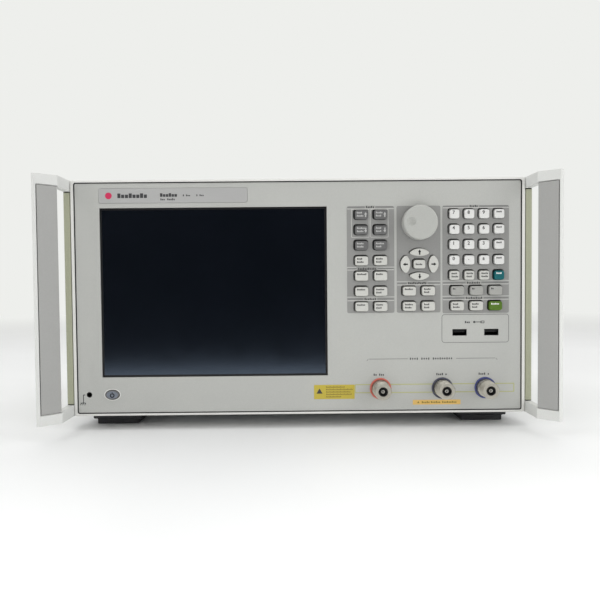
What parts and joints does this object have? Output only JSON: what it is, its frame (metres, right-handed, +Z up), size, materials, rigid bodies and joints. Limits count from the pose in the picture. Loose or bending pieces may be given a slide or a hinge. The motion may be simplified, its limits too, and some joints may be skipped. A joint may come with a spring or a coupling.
{
  "type": "vector network analyzer",
  "caption": "Bench network analyzer in a 5U cabinet with a colour display, keypad, tuning knob, type N test ports, two bow handles and feet.",
  "frame": {"origin": "middle of the object's box, on the surface that the feet stand on", "axes": "+X to the operator's right, +Y from the front panel to the rear panel, +Z up"},
  "size_m": [0.462, 0.332, 0.235],
  "materials": {
    "frame_paint": "satin",
    "panel_paint": "satin",
    "nameplate_satin": "satin",
    "screen_glass": "glossy",
    "sheet_steel": "satin",
    "circuit_board": "satin",
    "dark_metal": "satin",
    "connector_nickel": "satin",
    "port_ring_plastic": "satin",
    "socket_black": "matte",
    "cover_paint": "textured",
    "rear_paint": "satin",
    "handle_paint": "satin",
    "grip_grey": "satin",
    "trim_olive": "satin",
    "foot_plastic": "matte",
    "rf_casting": "matte",
    "fan_plastic": "matte",
    "knob_plastic": "satin",
    "shaft_steel": "satin",
    "power_button_plastic": "satin",
    "white_key": "satin",
    "light_key": "satin",
    "dark_key": "satin",
    "panel_key": "satin",
    "green_key": "satin",
    "teal_key": "satin"
  },
  "bodies": {
    "cabinet": {"front_frame": "frame_paint", "front_panel": "panel_paint", "nameplate": "nameplate_satin", "display_window": "screen_glass", "lcd_module": "sheet_steel", "keypad_board": "circuit_board", "encoder_body": "dark_metal", "rf_out_connector": "connector_nickel", "port_1_connector": "connector_nickel", "port_2_connector": "connector_nickel", "port_rings": "port_ring_plastic", "usb_sockets": "socket_black", "ground_jack": "socket_black", "chassis": "sheet_steel", "cover": "cover_paint", "rear_panel": "rear_paint", "handle_left": "handle_paint", "handle_right": "handle_paint", "handle_inserts": "grip_grey", "handle_trims": "trim_olive", "feet": "foot_plastic", "rear_bumpers": "foot_plastic", "power_supply": "sheet_steel", "main_board": "circuit_board", "rf_module": "rf_casting", "fan_housing": "fan_plastic", "ac_inlet": "socket_black", "rear_connectors": "connector_nickel", "screws": "dark_metal"},
    "knob": {"tuning_knob": "knob_plastic", "encoder_shaft": "shaft_steel"},
    "power": {"power_button": "power_button_plastic"},
    "key_up": {"key_up": "light_key"},
    "key_enter": {"key_enter": "light_key"},
    "key_5": {"key_5": "white_key"},
    "key_preset": {"key_preset": "green_key"},
    "key_help": {"key_help": "teal_key"},
    "key_7": {"key_7": "white_key"},
    "key_8": {"key_8": "white_key"},
    "key_9": {"key_9": "white_key"},
    "key_4": {"key_4": "white_key"},
    "key_6": {"key_6": "white_key"},
    "key_1": {"key_1": "white_key"},
    "key_2": {"key_2": "white_key"},
    "key_3": {"key_3": "white_key"},
    "key_0": {"key_0": "white_key"},
    "key_point": {"key_point": "white_key"},
    "key_sign": {"key_sign": "white_key"},
    "key_down": {"key_down": "light_key"},
    "key_left": {"key_left": "light_key"},
    "key_right": {"key_right": "light_key"},
    "unit_keys": {"unit_keys": "white_key"},
    "edit_keys": {"edit_keys": "light_key"},
    "function_keys": {"function_keys": "panel_key"},
    "setup_keys": {"setup_keys": "dark_key"},
    "measurement_keys": {"measurement_keys": "light_key"},
    "trigger_keys": {"trigger_keys": "light_key"},
    "calibration_keys": {"calibration_keys": "light_key"},
    "state_keys": {"state_keys": "light_key"},
    "fan": {"fan_rotor": "fan_plastic"}
  },
  "joints": [
    {"name": "knob_turn", "type": "hinge", "parent": "cabinet", "child": "knob", "pos_m": [0.1126, -0.13, 0.1925], "axis": [0, 1, 0], "continuous": true},
    {"name": "power_press", "type": "slide", "parent": "cabinet", "child": "power", "axis": [0, 1, 0], "range_m": [0, 0.0018], "stiffness_N_per_m": 800},
    {"name": "fan_spin", "type": "hinge", "parent": "cabinet", "child": "fan", "pos_m": [-0.14, 0.138, 0.128], "axis": [0, 1, 0], "continuous": true},
    {"name": "key_up_press", "type": "slide", "parent": "cabinet", "child": "key_up", "axis": [0, 1, 0], "range_m": [0, 0.0015], "stiffness_N_per_m": 500},
    {"name": "key_enter_press", "type": "slide", "parent": "cabinet", "child": "key_enter", "axis": [0, 1, 0], "range_m": [0, 0.0015], "stiffness_N_per_m": 500},
    {"name": "key_5_press", "type": "slide", "parent": "cabinet", "child": "key_5", "axis": [0, 1, 0], "range_m": [0, 0.0015], "stiffness_N_per_m": 500},
    {"name": "key_preset_press", "type": "slide", "parent": "cabinet", "child": "key_preset", "axis": [0, 1, 0], "range_m": [0, 0.0015], "stiffness_N_per_m": 500},
    {"name": "key_help_press", "type": "slide", "parent": "cabinet", "child": "key_help", "axis": [0, 1, 0], "range_m": [0, 0.0015], "stiffness_N_per_m": 500},
    {"name": "key_7_press", "type": "slide", "parent": "cabinet", "child": "key_7", "axis": [0, 1, 0], "range_m": [0, 0.0015], "stiffness_N_per_m": 500},
    {"name": "key_8_press", "type": "slide", "parent": "cabinet", "child": "key_8", "axis": [0, 1, 0], "range_m": [0, 0.0015], "stiffness_N_per_m": 500},
    {"name": "key_9_press", "type": "slide", "parent": "cabinet", "child": "key_9", "axis": [0, 1, 0], "range_m": [0, 0.0015], "stiffness_N_per_m": 500},
    {"name": "key_4_press", "type": "slide", "parent": "cabinet", "child": "key_4", "axis": [0, 1, 0], "range_m": [0, 0.0015], "stiffness_N_per_m": 500},
    {"name": "key_6_press", "type": "slide", "parent": "cabinet", "child": "key_6", "axis": [0, 1, 0], "range_m": [0, 0.0015], "stiffness_N_per_m": 500},
    {"name": "key_1_press", "type": "slide", "parent": "cabinet", "child": "key_1", "axis": [0, 1, 0], "range_m": [0, 0.0015], "stiffness_N_per_m": 500},
    {"name": "key_2_press", "type": "slide", "parent": "cabinet", "child": "key_2", "axis": [0, 1, 0], "range_m": [0, 0.0015], "stiffness_N_per_m": 500},
    {"name": "key_3_press", "type": "slide", "parent": "cabinet", "child": "key_3", "axis": [0, 1, 0], "range_m": [0, 0.0015], "stiffness_N_per_m": 500},
    {"name": "key_0_press", "type": "slide", "parent": "cabinet", "child": "key_0", "axis": [0, 1, 0], "range_m": [0, 0.0015], "stiffness_N_per_m": 500},
    {"name": "key_point_press", "type": "slide", "parent": "cabinet", "child": "key_point", "axis": [0, 1, 0], "range_m": [0, 0.0015], "stiffness_N_per_m": 500},
    {"name": "key_sign_press", "type": "slide", "parent": "cabinet", "child": "key_sign", "axis": [0, 1, 0], "range_m": [0, 0.0015], "stiffness_N_per_m": 500},
    {"name": "key_down_press", "type": "slide", "parent": "cabinet", "child": "key_down", "axis": [0, 1, 0], "range_m": [0, 0.0015], "stiffness_N_per_m": 500},
    {"name": "key_left_press", "type": "slide", "parent": "cabinet", "child": "key_left", "axis": [0, 1, 0], "range_m": [0, 0.0015], "stiffness_N_per_m": 500},
    {"name": "key_right_press", "type": "slide", "parent": "cabinet", "child": "key_right", "axis": [0, 1, 0], "range_m": [0, 0.0015], "stiffness_N_per_m": 500},
    {"name": "unit_keys_press", "type": "slide", "parent": "cabinet", "child": "unit_keys", "axis": [0, 1, 0], "range_m": [0, 0.0015], "stiffness_N_per_m": 2000},
    {"name": "edit_keys_press", "type": "slide", "parent": "cabinet", "child": "edit_keys", "axis": [0, 1, 0], "range_m": [0, 0.0015], "stiffness_N_per_m": 2000},
    {"name": "function_keys_press", "type": "slide", "parent": "cabinet", "child": "function_keys", "axis": [0, 1, 0], "range_m": [0, 0.0015], "stiffness_N_per_m": 2000},
    {"name": "setup_keys_press", "type": "slide", "parent": "cabinet", "child": "setup_keys", "axis": [0, 1, 0], "range_m": [0, 0.0015], "stiffness_N_per_m": 2000},
    {"name": "measurement_keys_press", "type": "slide", "parent": "cabinet", "child": "measurement_keys", "axis": [0, 1, 0], "range_m": [0, 0.0015], "stiffness_N_per_m": 2000},
    {"name": "trigger_keys_press", "type": "slide", "parent": "cabinet", "child": "trigger_keys", "axis": [0, 1, 0], "range_m": [0, 0.0015], "stiffness_N_per_m": 2000},
    {"name": "calibration_keys_press", "type": "slide", "parent": "cabinet", "child": "calibration_keys", "axis": [0, 1, 0], "range_m": [0, 0.0015], "stiffness_N_per_m": 2000},
    {"name": "state_keys_press", "type": "slide", "parent": "cabinet", "child": "state_keys", "axis": [0, 1, 0], "range_m": [0, 0.0015], "stiffness_N_per_m": 2000}
  ]
}
